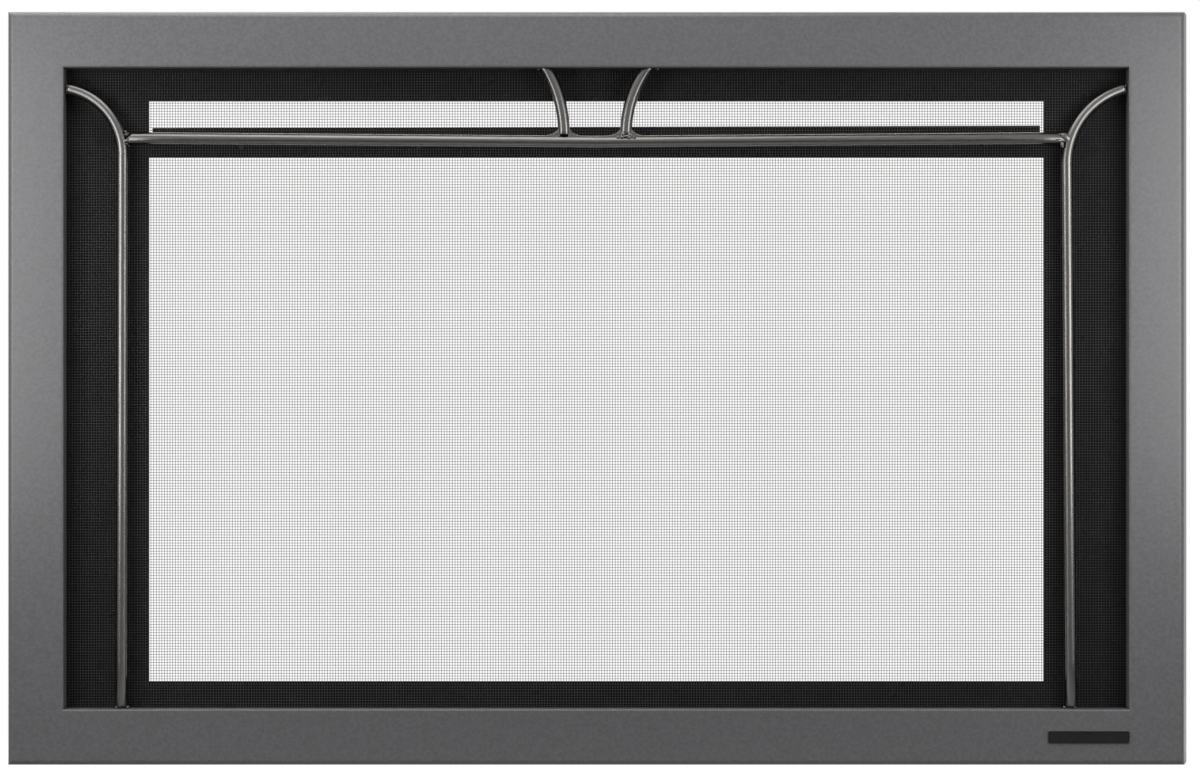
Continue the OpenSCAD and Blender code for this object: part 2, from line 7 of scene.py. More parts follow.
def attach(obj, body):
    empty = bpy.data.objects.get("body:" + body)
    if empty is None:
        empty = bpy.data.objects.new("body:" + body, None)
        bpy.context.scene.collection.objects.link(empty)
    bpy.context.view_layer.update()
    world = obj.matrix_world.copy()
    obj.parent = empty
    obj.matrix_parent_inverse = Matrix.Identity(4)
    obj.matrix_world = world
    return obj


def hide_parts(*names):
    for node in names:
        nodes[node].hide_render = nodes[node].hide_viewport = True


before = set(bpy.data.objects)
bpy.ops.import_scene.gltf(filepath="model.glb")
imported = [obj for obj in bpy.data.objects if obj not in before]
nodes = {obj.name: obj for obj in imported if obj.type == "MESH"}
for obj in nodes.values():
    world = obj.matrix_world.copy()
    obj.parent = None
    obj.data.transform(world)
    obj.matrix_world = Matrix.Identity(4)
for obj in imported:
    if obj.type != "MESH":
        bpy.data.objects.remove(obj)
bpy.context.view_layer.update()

# The surround: one steel sheet folded back round its outer edge and round the
# opening, with a lip turned outwards behind the face. Its corners are closed, then
# it is coated with a fine charcoal powder that cures to a satin, faintly rippled skin.
MM = 0.001
FACE_W, FACE_H, RIM_DEPTH = 1095, 701, 38
BORDER = 52
KEYHOLE_H = 674
FLANGE_DEPTH = 25
OPEN_X = FACE_W / 2 - BORDER
OPEN_TOP = FACE_H - BORDER


def deep(v):
    """Place along Y of a depth behind the face, in millimetres."""
    return (v - RIM_DEPTH) * MM


def up(h):
    """Place along Z of a height above the surround's lower edge, in millimetres."""
    return (h - KEYHOLE_H) * MM


def place(x, v, h):
    return Vector((x * MM, deep(v), up(h)))


def coating(name, roughness, metallic=0.0, **sockets):
    """A new material with its even values set on its shader."""
    material = bpy.data.materials.new(name)
    material.use_nodes = True
    shader = material.node_tree.nodes["Principled BSDF"]
    shader.inputs["Roughness"].default_value = roughness
    shader.inputs["Metallic"].default_value = metallic
    for socket, value in sockets.items():
        shader.inputs[socket.replace("_", " ")].default_value = value
    return material


def grain(material, size, detail=2.0, stretch=(1, 1, 1), uv=None, roughness=0.5):
    """Noise with features of a size in millimetres, on the piece's own coordinates."""
    tree = material.node_tree
    noise = tree.nodes.new("ShaderNodeTexNoise")
    noise.inputs["Scale"].default_value = 1 / (size * MM)
    noise.inputs["Detail"].default_value = detail
    noise.inputs["Roughness"].default_value = roughness
    turn = tree.nodes.new("ShaderNodeMapping")
    turn.inputs["Scale"].default_value = stretch
    if uv:
        source = tree.nodes.new("ShaderNodeUVMap")
        source.uv_map = uv
        tree.links.new(source.outputs["UV"], turn.inputs["Vector"])
    else:
        source = tree.nodes.new("ShaderNodeTexCoord")
        tree.links.new(source.outputs["Object"], turn.inputs["Vector"])
    tree.links.new(turn.outputs["Vector"], noise.inputs["Vector"])
    return noise.outputs["Fac"]


def tint(material, pattern, dark, light, spread=(0.35, 0.65)):
    """Colours the surface between two tones as a pattern goes from low to high."""
    tree = material.node_tree
    ramp = tree.nodes.new("ShaderNodeValToRGB")
    ramp.color_ramp.elements[0].position, ramp.color_ramp.elements[1].position = spread
    ramp.color_ramp.elements[0].color = (*dark, 1)
    ramp.color_ramp.elements[1].color = (*light, 1)
    tree.links.new(pattern, ramp.inputs["Fac"])
    shader = tree.nodes["Principled BSDF"]
    tree.links.new(ramp.outputs["Color"], shader.inputs["Base Color"])


def level_between(tree, source, span, to=(0, 1), smooth=False):
    """A value that goes from one level to another while a source crosses a span."""
    scale = tree.nodes.new("ShaderNodeMapRange")
    if smooth:
        scale.interpolation_type = "SMOOTHSTEP"
    scale.inputs["From Min"].default_value, scale.inputs["From Max"].default_value = span
    scale.inputs["To Min"].default_value, scale.inputs["To Max"].default_value = to
    tree.links.new(source, scale.inputs["Value"])
    return scale


def gloss(material, pattern, low, high, spread=(0.3, 0.7)):
    """Roughness between two values as a pattern goes from low to high."""
    tree = material.node_tree
    scale = level_between(tree, pattern, spread, (low, high))
    tree.links.new(scale.outputs["Result"], tree.nodes["Principled BSDF"].inputs["Roughness"])


def relief(material, pattern, height, strength=1.0, under=None):
    """Bump of a height in millimetres, laid over another bump if one is given."""
    tree = material.node_tree
    bump = tree.nodes.new("ShaderNodeBump")
    bump.inputs["Distance"].default_value = height * MM
    bump.inputs["Strength"].default_value = strength
    tree.links.new(pattern, bump.inputs["Height"])
    if under:
        tree.links.new(under, bump.inputs["Normal"])
    tree.links.new(bump.outputs["Normal"], tree.nodes["Principled BSDF"].inputs["Normal"])
    return bump.outputs["Normal"]


def coat_node(name, material):
    """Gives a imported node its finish."""
    nodes[name].data.materials.clear()
    nodes[name].data.materials.append(material)


charcoal = coating("charcoal_powder_coat", 0.34, Specular_IOR_Level=0.6)
mottle = grain(charcoal, 2.6, detail=3)
tint(charcoal, mottle, (0.160, 0.155, 0.162), (0.197, 0.192, 0.200))
gloss(charcoal, mottle, 0.29, 0.39)
wave = relief(charcoal, grain(charcoal, 9, detail=1), 0.03, 0.5)
relief(charcoal, grain(charcoal, 1.1, detail=1), 0.02, 0.6, under=wave)
coat_node("face_frame", charcoal)

# The bars: round steel stock of 11.1 mm, cut square, the tops of the stiles bent
# outwards over a former by hand, so left and right differ by a few millimetres. They
# are brushed along their length, darkened and lacquered to a satin metal.
BAR_R = 5.55
BAR_DEPTH = 12.5
BAR_SIDES = 40
CUT_EDGE = 0.35
ARM_TIP_H = OPEN_TOP - 19
FOOT_GAP, TIP_GAP = 2, 3
CROSS_H = OPEN_TOP - 65
CROSS_SAG = 3.4
CREST_H = CROSS_H - CROSS_SAG + BAR_R


def deselect():
    for other in bpy.context.selected_objects:
        other.select_set(False)


def start(made, name):
    """Names what an operator has just added, and opens it for editing, all selected."""
    made.name = made.data.name = name
    bpy.ops.object.mode_set(mode="EDIT")
    bpy.ops.mesh.select_all(action="SELECT")
    return made


def settle(piece, smooth=None):
    """Closes an edit, and puts the piece's place into its mesh."""
    if piece.mode == "EDIT":
        bpy.ops.object.mode_set(mode="OBJECT")
    deselect()
    piece.select_set(True)
    bpy.context.view_layer.objects.active = piece
    bpy.ops.object.transform_apply(location=True, rotation=True, scale=True)
    if smooth is not None:
        bpy.ops.object.shade_smooth_by_angle(angle=math.radians(smooth), keep_sharp_edges=False)
    return piece


def use_modifier(piece, kind, **values):
    """Adds a modifier, sets it and applies it."""
    bpy.context.view_layer.objects.active = piece
    modifier = piece.modifiers.new(kind.lower(), kind)
    for key, value in values.items():
        setattr(modifier, key, value)
    bpy.ops.object.modifier_apply(modifier=modifier.name)


def close_ends(edge):
    """Fills the open ends of a tube in edit mode, and takes off their sharp edges."""
    bpy.ops.mesh.select_all(action="DESELECT")
    bpy.ops.mesh.select_non_manifold()
    bpy.ops.mesh.fill_holes(sides=0)
    bpy.ops.mesh.select_all(action="SELECT")
    bpy.ops.mesh.normals_make_consistent(inside=False)
    bpy.ops.mesh.select_all(action="DESELECT")
    bpy.ops.mesh.select_mode(type="EDGE")
    bpy.ops.mesh.edges_select_sharp(sharpness=math.radians(50))
    if edge:
        bpy.ops.mesh.bevel(offset=edge * MM, segments=2, affect="EDGES")
    bpy.ops.mesh.select_mode(type="VERT")


def finish_piece(piece, material, slot, *replaced):
    """Hands a finished piece to the frame."""
    piece.data.materials.clear()
    piece.data.materials.append(material)
    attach(piece, "root")
    if replaced:
        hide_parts(*replaced)


def stile_bend(inset, arm_r, lean):
    """Slope at the arm's tip in degrees, and the height where the arm begins."""
    lean = math.radians(lean)
    sweep = math.acos(math.cos(lean) - (inset - TIP_GAP) / arm_r)
    return math.degrees(sweep), ARM_TIP_H - arm_r * (math.sin(sweep) + math.sin(lean))


def bent_stile(name, side, inset, arm_r, lean, radius, edge):
    """An upright bar whose top turns outwards. side is -1 on the left, 1 on the right."""
    sweep, bend_h = stile_bend(inset, arm_r, lean)
    leg = (bend_h - BORDER - FOOT_GAP) / math.cos(math.radians(lean))
    x = side * (OPEN_X - inset)
    bpy.ops.mesh.primitive_circle_add(
        vertices=BAR_SIDES, radius=radius * MM, location=place(x, BAR_DEPTH, bend_h - leg))
    bar = start(bpy.context.object, name)
    steps = 12
    for _ in range(steps):
        bpy.ops.mesh.extrude_region_move(
            TRANSFORM_OT_translate={"value": (0, 0, leg / steps * MM)})
    bpy.ops.mesh.spin(
        steps=36, angle=-side * math.radians(sweep + lean),
        center=place(x + side * arm_r, BAR_DEPTH, bend_h), axis=(0, 1, 0))
    close_ends(edge)
    settle(bar)
    bar.data.transform(
        Matrix.Translation(place(x, BAR_DEPTH, bend_h))
        @ Matrix.Rotation(math.radians(-side * lean), 4, "Y")
        @ Matrix.Translation(-place(x, BAR_DEPTH, bend_h)))
    return bar


def run_map(bar, along):
    """A map named run: metres along the bar, and round it, for a grain that follows it."""
    layer = bar.data.uv_layers.new(name="run")
    points = [along(v.co) for v in bar.data.vertices]
    for polygon in bar.data.polygons:
        loops = [(i, bar.data.loops[i].vertex_index) for i in polygon.loop_indices]
        first = points[loops[0][1]][1]
        for loop, vertex in loops:
            length, turn = points[vertex]
            turn += round(first - turn)
            layer.data[loop].uv = (length, turn * 2 * math.pi * BAR_R * MM)


def stile_run(side, inset, arm_r, lean):
    """Distance along a stile and the share of a turn round it, for a point on it."""
    _, bend_h = stile_bend(inset, arm_r, lean)
    hub = place(side * (OPEN_X - inset + arm_r), BAR_DEPTH, bend_h)

    def along(point):
        offset = point - hub
        if offset.z < 0:
            length, out = offset.z, -side * offset.x - arm_r * MM
        else:
            length = math.atan2(offset.z, -side * offset.x) * arm_r * MM
            out = math.hypot(offset.x, offset.z) - arm_r * MM
        return length, math.atan2(offset.y, out) / (2 * math.pi)
    return along


dark_bar = coating("darkened_satin_bar", 0.27, metallic=1.0, Coat_Weight=0.3, Coat_Roughness=0.2)
streaks = grain(dark_bar, 0.9, detail=3, stretch=(0.03, 1, 1), uv="run")
tint(dark_bar, streaks, (0.126, 0.121, 0.116), (0.162, 0.156, 0.150))
gloss(dark_bar, grain(dark_bar, 4, detail=2, stretch=(0.2, 1, 1), uv="run"), 0.22, 0.32)
drawn = relief(dark_bar, streaks, 0.006, 0.2)
wavy = grain(dark_bar, 16, detail=1, stretch=(0.5, 1, 1), uv="run")
relief(dark_bar, wavy, 0.12, 0.5, under=drawn)

LEFT_INSET = 53.4
STILES = {
    "left_stile_bar": (-1, LEFT_INSET, 62.2, 0.1),
    "right_stile_bar": (1, 56.1, 72.2, 0.4),
}
for name, (side, inset, arm_r, lean) in STILES.items():
    stile = bent_stile(name.replace("_bar", ""), side, inset, arm_r, lean, BAR_R, CUT_EDGE)
    settle(stile, smooth=40)
    run_map(stile, stile_run(side, inset, arm_r, lean))
    finish_piece(stile, dark_bar, "bars", name)

# The cross bar: the same stock, laid level between the stiles and pulled down a
# little in the middle by its welds. Each end is coped to the stile that it meets,
# and its upper half is cut back at a slant, which leaves an open notch at the joint.
COPE_GAP = 0.3
ROUGH_END, ROUGH_STEP = 450, 45


def cross_centre(x):
    """Height of the cross bar's centre line at a distance from the middle."""
    return CROSS_H - CROSS_SAG * (1 - abs(x) / (OPEN_X - LEFT_INSET))


bpy.ops.mesh.primitive_circle_add(
    vertices=BAR_SIDES, radius=BAR_R * MM,
    location=place(-ROUGH_END, BAR_DEPTH, cross_centre(-ROUGH_END)),
    rotation=(0, math.pi / 2, 0))
cross = start(bpy.context.object, "cross")
for x in range(-ROUGH_END, ROUGH_END, ROUGH_STEP):
    rise = cross_centre(x + ROUGH_STEP) - cross_centre(x)
    bpy.ops.mesh.extrude_region_move(
        TRANSFORM_OT_translate={"value": (ROUGH_STEP * MM, 0, rise * MM)})
for side, inset, _, _ in STILES.values():
    bpy.ops.mesh.select_all(action="SELECT")
    bpy.ops.mesh.bisect(
        plane_co=place(side * (OPEN_X - inset - BAR_R), BAR_DEPTH, CROSS_H),
        plane_no=(side * 1, 0, 1), use_fill=False, clear_outer=True)
close_ends(0.45)
settle(cross)
for name, (side, inset, arm_r, lean) in STILES.items():
    cutter = bent_stile("cutter", side, inset, arm_r, lean, BAR_R + COPE_GAP, 0)
    use_modifier(cross, "BOOLEAN", object=cutter, operation="DIFFERENCE", solver="EXACT")
    bpy.data.objects.remove(cutter)
settle(cross, smooth=40)


def cross_run(point):
    h = point.z / MM + KEYHOLE_H - cross_centre(point.x / MM)
    return point.x, math.atan2(point.y - deep(BAR_DEPTH), h * MM) / (2 * math.pi)


run_map(cross, cross_run)
finish_piece(cross, dark_bar, "bars", "cross_bar")

# The branches: two short lengths of the same bar, bent the other way, that stand on
# the cross bar with a narrow slot under each and flare out to the top of the opening.
LEFT_FOOT, RIGHT_FOOT = -30.1, 27.7
BRANCHES = {"left_branch_bar": (-1, LEFT_FOOT, 124), "right_branch_bar": (1, RIGHT_FOOT, 108)}
BRANCH_FOOT_H = CREST_H + 1.2

for name, (side, foot, radius) in BRANCHES.items():
    hub = place(foot + side * radius, BAR_DEPTH, BRANCH_FOOT_H)
    bpy.ops.mesh.primitive_circle_add(
        vertices=BAR_SIDES, radius=BAR_R * MM, location=place(foot, BAR_DEPTH, BRANCH_FOOT_H))
    branch = start(bpy.context.object, name.replace("_bar", ""))
    bpy.ops.mesh.spin(steps=26, angle=-side * math.radians(45), center=hub, axis=(0, 1, 0))
    bpy.ops.mesh.select_all(action="SELECT")
    bpy.ops.mesh.bisect(
        plane_co=place(0, 0, OPEN_TOP - 0.4), plane_no=(0, 0, 1), use_fill=False, clear_outer=True)
    close_ends(CUT_EDGE)
    settle(branch, smooth=40)

    def branch_run(point, hub=hub, side=side, radius=radius):
        offset = point - hub
        out = math.hypot(offset.x, offset.z) - radius * MM
        length = math.atan2(offset.z, -side * offset.x) * radius * MM
        return length, math.atan2(offset.y, out) / (2 * math.pi)

    run_map(branch, branch_run)
    finish_piece(branch, dark_bar, "bars", name)

# The weld beads: weld metal laid by hand at each joint of the bars, small rounded
# lumps and hollow fillets that were wire brushed, darkened and lacquered with the bars.
weld_skin = coating("brushed_weld_metal", 0.24, metallic=1.0, Coat_Weight=0.5, Coat_Roughness=0.14)
lumps = grain(weld_skin, 2.2, detail=3)
tint(weld_skin, lumps, (0.11, 0.105, 0.101), (0.21, 0.203, 0.197))
gloss(weld_skin, grain(weld_skin, 1.0, detail=2), 0.24, 0.38)
relief(weld_skin, lumps, 0.08, 0.4)


def bead(x, v, h, rx, rv, rh, lean=0):
    """One drop of weld metal: its middle, its half sizes, and its lean in degrees."""
    bpy.ops.mesh.primitive_ico_sphere_add(subdivisions=3, radius=MM, location=place(x, v, h))
    drop = start(bpy.context.object, "drop")
    bpy.ops.transform.resize(value=(rx, rv, rh))
    bpy.ops.transform.rotate(
        value=math.radians(-lean), orient_axis="Y", center_override=place(x, v, h))
    return settle(drop)


def join_all(name, parts):
    """Makes one piece of several."""
    deselect()
    for part in parts:
        part.select_set(True)
    bpy.context.view_layer.objects.active = parts[0]
    bpy.ops.object.join()
    piece = bpy.context.view_layer.objects.active
    piece.name = piece.data.name = name
    return settle(piece)


def run_together(name, drops, grain_mm, passes):
    """Joins drops of weld metal, flows them into one skin and rounds it."""
    weld = join_all(name, drops)
    use_modifier(weld, "REMESH", mode="VOXEL", voxel_size=grain_mm * MM)
    use_modifier(weld, "SMOOTH", factor=0.5, iterations=passes)
    return settle(weld, smooth=180)


left_corner = run_together("left_corner_beads", [
    bead(-438.5, 9.4, 589.6, 2.0, 1.9, 1.0, 42),
    bead(-436.6, 7.5, 582.4, 2.9, 1.1, 1.0, -45),
    bead(-439.6, 7.6, 580.6, 2.2, 1.3, 1.5, -50),
    bead(-437.5, 9.0, 578.4, 1.0, 1.6, 1.0, 20),
    bead(-435.7, 10.2, 576.4, 0.9, 1.5, 0.9),
    bead(-438.4, 14.5, 587.5, 2.6, 3.0, 2.8),
    bead(-438.0, 14.5, 579.8, 2.6, 3.0, 2.8),
], 0.3, 2)
finish_piece(left_corner, weld_skin, "weld_metal", "left_corner_weld")

right_corner = run_together("right_corner_beads", [
    bead(437.6, 9.6, 584.4, 6.6, 3.0, 4.2, 34),
    bead(430.4, 7.6, 581.4, 4.4, 1.6, 1.6, 4),
    bead(433.0, 8.4, 587.3, 2.8, 1.9, 1.4, -12),
    bead(434.2, 8.8, 578.2, 1.9, 2.1, 2.6, 12),
    bead(434.9, 8.4, 575.9, 1.3, 1.8, 1.5),
    bead(436.0, 14.5, 586.5, 2.6, 3.0, 2.8),
    bead(435.6, 14.5, 579.5, 2.6, 3.0, 2.8),
], 0.3, 4)
finish_piece(right_corner, weld_skin, "weld_metal", "right_corner_weld")


def hollow_fillet(foot, side, reach, rise, thick):
    """A wedge beside a branch's foot, its slope hollowed by an oval cutter."""
    inner = foot + side * (BAR_R - 1.4)
    floor_h, top_h = CREST_H - 1.8, CREST_H + rise - 0.4
    bpy.ops.mesh.primitive_cube_add(
        size=1, location=place(inner + side * reach / 2, BAR_DEPTH, (floor_h + top_h) / 2))
    fillet = start(bpy.context.object, "fillet")
    bpy.ops.transform.resize(value=(reach * MM, thick * MM, (top_h - floor_h) * MM))
    settle(fillet)
    bpy.ops.mesh.primitive_cylinder_add(
        vertices=48, radius=1, depth=3 * thick * MM,
        location=place(inner + side * (reach + 0.6), BAR_DEPTH, top_h + 0.4),
        rotation=(math.pi / 2, 0, 0))
    oval = start(bpy.context.object, "oval")
    bpy.ops.transform.resize(value=(reach * MM, 1, (rise - 0.2) * MM))
    settle(oval)
    use_modifier(fillet, "BOOLEAN", object=oval, operation="DIFFERENCE", solver="EXACT")
    bpy.data.objects.remove(oval)
    return settle(fillet)


left_fillets = run_together("left_branch_fillets", [
    hollow_fillet(LEFT_FOOT, -1, 13.5, 9, 6.4),
    hollow_fillet(LEFT_FOOT, 1, 12, 9, 6.4),
], 0.35, 3)
finish_piece(left_fillets, weld_skin, "weld_metal", "left_branch_weld")

right_fillets = run_together("right_branch_fillets", [
    hollow_fillet(RIGHT_FOOT, -1, 13, 8.5, 6.4),
    hollow_fillet(RIGHT_FOOT, 1, 13, 8.5, 6.4),
    bead(24.6, 7.2, 587.5, 2.1, 1.6, 2.6, 20),
    bead(28.2, 6.9, 585.6, 2.6, 1.6, 1.2, -10),
    bead(31.6, 7.2, 586.6, 2.1, 1.7, 2.4, -25),
    bead(23.9, 7.4, 584.7, 1.9, 1.8, 1.5),
    bead(30.7, 7.4, 584.5, 2.3, 1.8, 1.5),
    bead(20.4, 7.8, 584.6, 1.8, 1.6, 1.3),
    bead(35.4, 7.8, 584.2, 2.0, 1.6, 1.3, 10),
], 0.3, 1)
finish_piece(right_fillets, weld_skin, "weld_metal", "right_branch_weld")

foot_tacks = run_together("foot_tacks", [
    bead(x, v, BORDER + 1.2, 1.7, 2.4, 1.5, t)
    for x, v, t in ((-447.2, 11.0, 20), (-437.0, 10.4, -20), (436.2, 9.6, 15), (446.0, 11.0, -25))
], 0.3, 1)
finish_piece(foot_tacks, weld_skin, "weld_metal", "stile_foot_tacks")

tip_welds = run_together("arm_welds", [
    bead(side * (OPEN_X - 1.6), v, ARM_TIP_H + dh, 2.2, 2.6, 2.8)
    for side in (-1, 1) for v, dh in ((15.6, 0), (14.2, -2.4), (14.8, 2.2))
], 0.35, 2)
finish_piece(tip_welds, weld_skin, "weld_metal", "arm_tip_welds")

branch_tacks = run_together("branch_tacks", [
    bead(x, 11.4, OPEN_TOP - 0.9, 1.6, 2.2, 1.1, t)
    for x, t in ((-54.0, 20), (-43.2, -20), (46.8, 20), (57.4, -20))
], 0.3, 1)
finish_piece(branch_tacks, weld_skin, "weld_metal", "branch_tip_tacks")

# The wire cloth: plain weave of 0.42 mm steel wire, ten wires to the inch, each wire
# crimped over and under the ones that it crosses. It is blackened, stretched behind
# the opening and clamped round its edge against the lip of the surround.
PITCH = 2.54
WIRE_R = 0.2425  # to the corners of a three-sided wire, whose sides are 0.42 mm
CRIMP = 0.16
CLOTH_DEPTH = FLANGE_DEPTH + 0.395
UPRIGHTS, LEVELS = 393, 239

black_wire = coating("blackened_wire", 0.32, Specular_IOR_Level=0.5)
tint(black_wire, grain(black_wire, 30, detail=3), (0.046, 0.044, 0.045), (0.066, 0.063, 0.064))
gloss(black_wire, grain(black_wire, 14, detail=2), 0.26, 0.4)


def crimped_wires(name, upright, first, count):
    """A run of neighbouring wires of one direction, modelled as one crimp and repeated."""
    crossings, across = (LEVELS, UPRIGHTS) if upright else (UPRIGHTS, LEVELS)
    low = -(crossings - 1) / 2 * PITCH
    mid_h = FACE_H / 2
    halves = []
    for phase in (0, 1):
        wires = range(first + phase, first + count, 2)
        sign = 1 if (wires[0] + (0 if upright else 1)) % 2 else -1
        offset = (wires[0] - (across - 1) / 2) * PITCH
        swing = CRIMP * sign
        if upright:
            begin = place(offset, CLOTH_DEPTH + swing, mid_h + low)
            turn, step = (0, 0, 0), Vector((0, 0, PITCH * MM))
            aside = Vector((2 * PITCH * MM, 0, 0))
        else:
            begin = place(low, CLOTH_DEPTH + swing, mid_h + offset)
            turn, step = (0, math.pi / 2, 0), Vector((PITCH * MM, 0, 0))
            aside = Vector((0, 0, 2 * PITCH * MM))
        bpy.ops.mesh.primitive_circle_add(
            vertices=3, radius=WIRE_R * MM, location=begin, rotation=turn)
        wire = start(bpy.context.object, name)
        for way in (-1, 1):
            move = step + Vector((0, way * 2 * swing * MM, 0))
            bpy.ops.mesh.extrude_region_move(TRANSFORM_OT_translate={"value": move})
        settle(wire)
        use_modifier(
            wire, "ARRAY", count=(crossings - 1) // 2, use_relative_offset=False,
            use_constant_offset=True, constant_offset_displace=2 * step,
            use_merge_vertices=True, merge_threshold=0.02 * MM)
        use_modifier(
            wire, "ARRAY", count=len(wires), use_relative_offset=False,
            use_constant_offset=True, constant_offset_displace=aside)
        halves.append(wire)
    wires = start(join_all(name, halves), name)
    bpy.ops.mesh.select_all(action="DESELECT")
    bpy.ops.mesh.select_non_manifold()
    bpy.ops.mesh.fill_holes(sides=3)
    bpy.ops.mesh.select_all(action="SELECT")
    bpy.ops.mesh.normals_make_consistent(inside=False)
    return settle(wires, smooth=180)


for direction, total, letter in ((True, UPRIGHTS, "upright"), (False, LEVELS, "level")):
    share = math.ceil(total / 3)
    for part in range(3):
        first = part * share
        cloth = crimped_wires(
            f"{letter}_wires_{part + 1}", direction, first, min(share, total - first))
        finish_piece(cloth, black_wire, "wire_cloth", "mesh_screen")

# The clamp strips: flat galvanised steel, 2 mm thick, one along each side of the
# opening. The panel screws pull them against the cloth and the lip.
galvanised = coating("galvanised_strip", 0.4, metallic=1.0)
cells = galvanised.node_tree.nodes.new("ShaderNodeTexVoronoi")
cells.inputs["Scale"].default_value = 1 / (7 * MM)
own_place = galvanised.node_tree.nodes.new("ShaderNodeTexCoord")
galvanised.node_tree.links.new(own_place.outputs["Object"], cells.inputs["Vector"])
tint(galvanised, cells.outputs["Distance"], (0.50, 0.51, 0.52), (0.66, 0.67, 0.68), (0.0, 0.8))
gloss(galvanised, cells.outputs["Distance"], 0.34, 0.48, (0.0, 0.8))
relief(galvanised, grain(galvanised, 1.4, detail=2), 0.02, 0.4)
for strip in ("top", "bottom", "left", "right"):
    coat_node(f"{strip}_clamp_strip", galvanised)

# The rear panel: 1.2 mm steel sheet with a large window for the fire and a long slot
# for warm air, sprayed with heat-proof black that dries dull and slightly rough.
stove_black = coating("heat_proof_black", 0.6, Specular_IOR_Level=0.1)
dust = grain(stove_black, 5, detail=4)
tint(stove_black, dust, (0.0040, 0.0037, 0.0041), (0.0078, 0.0073, 0.0079))
gloss(stove_black, dust, 0.52, 0.68)
relief(stove_black, grain(stove_black, 0.7, detail=2), 0.02, 0.5)
coat_node("back_panel", stove_black)

# The panel screws: blackened pan-head screws with a cross recess, driven from behind
# through panel, strip and cloth into the lip of the surround.
HANG_SPAN = 560
PANEL_REAR, PANEL_T = 28.99, 1.2
CLAMP_LINE = 7.6
black_oxide = coating("blackened_fastener", 0.38, metallic=1.0)
tint(black_oxide, grain(black_oxide, 1.6, detail=3), (0.035, 0.035, 0.037), (0.085, 0.084, 0.086))
gloss(black_oxide, grain(black_oxide, 0.8, detail=2), 0.3, 0.48)


def face_ring(piece, v, low, high):
    """Selects the faces whose middle lies at a depth and within two radii, in edit mode."""
    bpy.ops.mesh.select_all(action="DESELECT")
    bpy.ops.object.mode_set(mode="OBJECT")
    for polygon in piece.data.polygons:
        centre = piece.matrix_world @ polygon.center
        offset = centre - piece.location
        distance = math.hypot(offset.x, offset.z) / MM
        polygon.select = abs(centre.y - deep(v)) < 0.05 * MM and low <= distance <= high
    bpy.ops.object.mode_set(mode="EDIT")


def pan_head_screw(x, h, v, head_r, head_h, shank_r, length):
    """A screw along the depth: its head's seat at depth v, its point to the front."""
    bpy.ops.mesh.primitive_cylinder_add(
        vertices=32, radius=head_r * MM, depth=head_h * MM,
        location=place(x, v + head_h / 2, h), rotation=(math.pi / 2, 0, 0))
    screw = start(bpy.context.object, "screw")
    bpy.ops.mesh.select_all(action="DESELECT")
    bpy.ops.mesh.select_mode(type="EDGE")
    bpy.ops.object.mode_set(mode="OBJECT")
    rear = v + head_h
    for edge in screw.data.edges:
        ends = [screw.matrix_world @ screw.data.vertices[i].co for i in edge.vertices]
        edge.select = all(abs(end.y - deep(rear)) < 0.01 * MM for end in ends)
    bpy.ops.object.mode_set(mode="EDIT")
    bpy.ops.mesh.bevel(offset=head_h * 0.62 * MM, segments=5, affect="EDGES")
    bpy.ops.mesh.select_mode(type="FACE")
    face_ring(screw, v, 0, head_r)
    bpy.ops.mesh.inset(thickness=(head_r - shank_r) * MM)
    bpy.ops.mesh.extrude_region_move(
        TRANSFORM_OT_translate={"value": (0, -(length - 2) * MM, 0)})
    bpy.ops.mesh.extrude_region_move(TRANSFORM_OT_translate={"value": (0, -2 * MM, 0)})
    bpy.ops.transform.resize(value=(0.35, 1, 0.35))
    bpy.ops.mesh.select_mode(type="VERT")
    settle(screw)
    for turn in (0, math.pi / 2):
        bpy.ops.mesh.primitive_cube_add(size=1, location=place(x, rear, h))
        slot = start(bpy.context.object, "slot")
        bpy.ops.transform.resize(value=(head_r * 1.15 * MM, head_h * 1.1 * MM, head_r * 0.24 * MM))
        bpy.ops.object.mode_set(mode="OBJECT")
        slot.rotation_euler = (0, turn + 0.3 * math.sin(7 * x + h), 0)
        settle(slot)
        use_modifier(screw, "BOOLEAN", object=slot, operation="DIFFERENCE", solver="EXACT")
        bpy.data.objects.remove(slot)
    return settle(screw, smooth=35)


HANGER_HALF, SCREW_GAP, HEAD_R = 18, 20, 4
FROM_CORNER = 42
beside_hanger = HANG_SPAN / 2 - HANGER_HALF - SCREW_GAP - HEAD_R
across = (-OPEN_X + FROM_CORNER, -beside_hanger, 0, beside_hanger, OPEN_X - FROM_CORNER)
line_up = FACE_H / 2 + (OPEN_TOP - BORDER) / 2 + CLAMP_LINE
line_down = FACE_H - line_up
down = [BORDER + FROM_CORNER + i * (OPEN_TOP - BORDER - 2 * FROM_CORNER) / 3 for i in range(4)]
spots = [(x, h) for h in (line_down, line_up) for x in across]
spots += [(side * (OPEN_X + CLAMP_LINE), h) for side in (-1, 1) for h in down]
screws = join_all("pan_head_screws", [
    pan_head_screw(x, h, PANEL_REAR, HEAD_R, head_h=2.6, shank_r=2.1, length=9.5)
    for x, h in spots])
finish_piece(screws, black_oxide, "black_fasteners", "panel_screws")

# The air deflector: a narrow steel angle along the rail of the panel, sprayed with it
# and held by five blind rivets. Its bent edge shows just above the cross bar.
coat_node("air_deflector", stove_black)
DEFLECTOR_T = 1.2
WINDOW_W, RAIL_TOP = 837, 588
DEFLECTOR_W = WINDOW_W - 6
DEFLECTOR_TILT = 0.15
RAIL_MID = RAIL_TOP - 10.9
RIVET_HEAD_R, RIVET_HEAD_H, RIVET_R = 3.2, 1.0, 1.6


